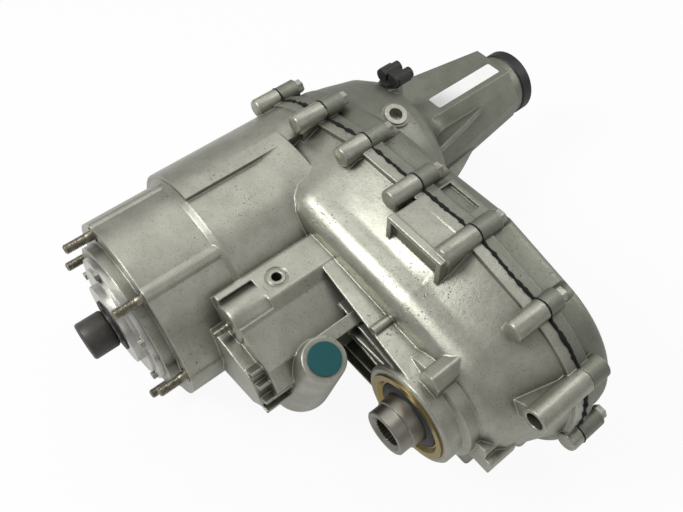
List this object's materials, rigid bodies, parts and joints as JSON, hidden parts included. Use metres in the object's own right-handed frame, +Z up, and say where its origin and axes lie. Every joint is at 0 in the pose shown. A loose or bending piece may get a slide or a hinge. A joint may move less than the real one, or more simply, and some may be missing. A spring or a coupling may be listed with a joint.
{
  "type": "transfer case",
  "caption": "Chain-driven transfer case that splits a vehicle's drive to front and rear outputs, with a planetary low range.",
  "frame": {"origin": "centre of the transmission mounting face, on the main shaft axis", "axes": "+Y rearward along the main shaft, +X towards the front output, +Z up"},
  "size_m": [0.498, 0.599, 0.2585],
  "materials": {
    "cast_aluminium_front": "as-cast, fine grain, satin",
    "cast_aluminium_rear": "as-cast, fine grain, duller satin",
    "machined_aluminium": "turned, bright",
    "sealant": "cured black silicone, satin",
    "zinc_steel": "zinc plated, satin",
    "black_steel": "phosphate coated, dull",
    "ground_steel": "ground and hardened, bright",
    "gear_steel": "case-hardened, oiled",
    "brass_ring": "plated steel ring, brass coloured",
    "black_rubber": "moulded, matte",
    "cap_plastic": "moulded polyethylene, satin",
    "teal_plastic": "moulded polyethylene, satin",
    "black_plastic": "glass-filled nylon, satin",
    "bronze": "sintered bronze, dull",
    "white_paper": "blank coated label",
    "magnet_black": "ferrite, dull"
  },
  "bodies": {
    "case": {"front_case": "cast_aluminium_front", "rear_case": "cast_aluminium_rear", "case_sealant": "sealant", "case_bolts": "zinc_steel", "adapter_studs": "zinc_steel", "bracket_stud": "black_steel", "input_retainer": "machined_aluminium", "retainer_screws": "zinc_steel", "input_seal": "black_rubber", "input_bearing_outer": "ground_steel", "annulus_gear": "gear_steel", "front_output_seal": "brass_ring", "output_bearing_outer": "ground_steel", "output_rear_bearing": "ground_steel", "shift_rail": "ground_steel", "shift_plug": "teal_plastic", "pump_housing": "machined_aluminium", "pickup": "black_plastic", "speed_sensor": "black_plastic", "fill_plug": "zinc_steel", "drain_plug": "zinc_steel", "magnet": "magnet_black", "tail_bushing": "bronze", "rear_seal": "black_rubber", "tail_label": "white_paper", "rear_bearing_outer": "ground_steel", "drive_chain": "gear_steel"},
    "input": {"input_shaft": "gear_steel", "input_cap": "cap_plastic", "input_bearing_inner": "ground_steel", "pilot_bearing": "ground_steel"},
    "input_roller_set": {"input_bearing_rollers": "ground_steel"},
    "carrier": {"planet_carrier": "gear_steel", "planet_pins": "ground_steel"},
    "planet_1": {"planet_gear_1": "gear_steel"},
    "planet_2": {"planet_gear_2": "gear_steel"},
    "planet_3": {"planet_gear_3": "gear_steel"},
    "planet_4": {"planet_gear_4": "gear_steel"},
    "main": {"main_shaft": "gear_steel", "mode_hub": "gear_steel", "rear_bearing_inner": "ground_steel", "tone_wheel": "gear_steel", "pump_rotor": "gear_steel"},
    "rear_roller_set": {"rear_bearing_rollers": "ground_steel"},
    "range_clutch": {"range_hub": "gear_steel"},
    "mode_clutch": {"mode_sleeve": "gear_steel"},
    "drive": {"drive_sprocket": "gear_steel"},
    "front_output": {"front_output_shaft": "gear_steel", "driven_sprocket": "gear_steel", "output_bearing_inner": "ground_steel"},
    "output_roller_set": {"output_bearing_rollers": "ground_steel"},
    "shift_sector": {"sector": "zinc_steel"},
    "range_shift": {"range_fork": "machined_aluminium"},
    "mode_shift": {"mode_fork": "machined_aluminium"}
  },
  "joints": [
    {"name": "input_spin", "type": "hinge", "parent": "case", "child": "input", "pos_m": [0, 0, 0], "axis": [0, 1, 0], "continuous": true},
    {"name": "input_rollers_spin", "type": "hinge", "parent": "case", "child": "input_roller_set", "pos_m": [0, 0, 0], "axis": [0, 1, 0], "continuous": true},
    {"name": "carrier_spin", "type": "hinge", "parent": "case", "child": "carrier", "pos_m": [0, 0.05, 0], "axis": [0, 1, 0], "continuous": true},
    {"name": "main_spin", "type": "hinge", "parent": "case", "child": "main", "pos_m": [0, 0.3, 0], "axis": [0, 1, 0], "continuous": true},
    {"name": "rear_rollers_spin", "type": "hinge", "parent": "case", "child": "rear_roller_set", "pos_m": [0, 0.331, 0], "axis": [0, 1, 0], "continuous": true},
    {"name": "drive_sprocket_spin", "type": "hinge", "parent": "case", "child": "drive", "pos_m": [0, 0.22, 0], "axis": [0, 1, 0], "continuous": true, "deforming": ["drive_chain"]},
    {"name": "front_output_spin", "type": "hinge", "parent": "case", "child": "front_output", "pos_m": [0.26, 0.2, 0.014], "axis": [0, 1, 0], "continuous": true},
    {"name": "output_rollers_spin", "type": "hinge", "parent": "case", "child": "output_roller_set", "pos_m": [0.26, 0.151, 0.014], "axis": [0, 1, 0], "continuous": true},
    {"name": "planet_1_spin", "type": "hinge", "parent": "carrier", "child": "planet_1", "pos_m": [0.0546, 0.049, 0], "axis": [0, 1, 0], "continuous": true},
    {"name": "planet_2_spin", "type": "hinge", "parent": "carrier", "child": "planet_2", "pos_m": [0, 0.049, 0.0546], "axis": [0, 1, 0], "continuous": true},
    {"name": "planet_3_spin", "type": "hinge", "parent": "carrier", "child": "planet_3", "pos_m": [-0.0546, 0.049, 0], "axis": [0, 1, 0], "continuous": true},
    {"name": "planet_4_spin", "type": "hinge", "parent": "carrier", "child": "planet_4", "pos_m": [0, 0.049, -0.0546], "axis": [0, 1, 0], "continuous": true},
    {"name": "sector_turn", "type": "hinge", "parent": "case", "child": "shift_sector", "pos_m": [0.188, 0.093, 0.06], "axis": [-0.3746, 0, -0.9272], "range_deg": [0, 40]},
    {"name": "range_fork_slide", "type": "slide", "parent": "case", "child": "range_shift", "axis": [0, 1, 0], "range_m": [0, 0.012]},
    {"name": "range_hub_slide", "type": "slide", "parent": "main", "child": "range_clutch", "axis": [0, 1, 0], "range_m": [0, 0.012]},
    {"name": "mode_fork_slide", "type": "slide", "parent": "case", "child": "mode_shift", "axis": [0, 1, 0], "range_m": [-0.012, 0]},
    {"name": "mode_sleeve_slide", "type": "slide", "parent": "main", "child": "mode_clutch", "axis": [0, 1, 0], "range_m": [-0.012, 0]}
  ],
  "couplings": [
    {"joint": "main_spin", "follows": "input_spin", "ratio": 1},
    {"joint": "drive_sprocket_spin", "follows": "input_spin", "ratio": 1},
    {"joint": "front_output_spin", "follows": "input_spin", "ratio": 1},
    {"joint": "carrier_spin", "follows": "input_spin", "ratio": 0.35714},
    {"joint": "input_rollers_spin", "follows": "input_spin", "ratio": 0.4257},
    {"joint": "rear_rollers_spin", "follows": "input_spin", "ratio": 0.4107},
    {"joint": "output_rollers_spin", "follows": "input_spin", "ratio": 0.44},
    {"joint": "sector_turn", "follows": "range_fork_slide", "rad_per_m": 58.178},
    {"joint": "range_hub_slide", "follows": "range_fork_slide", "ratio": 1},
    {"joint": "mode_sleeve_slide", "follows": "mode_fork_slide", "ratio": 1},
    {"joint": "planet_1_spin", "follows": "input_spin", "ratio": -1.6071},
    {"joint": "planet_2_spin", "follows": "input_spin", "ratio": -1.6071},
    {"joint": "planet_3_spin", "follows": "input_spin", "ratio": -1.6071},
    {"joint": "planet_4_spin", "follows": "input_spin", "ratio": -1.6071}
  ]
}
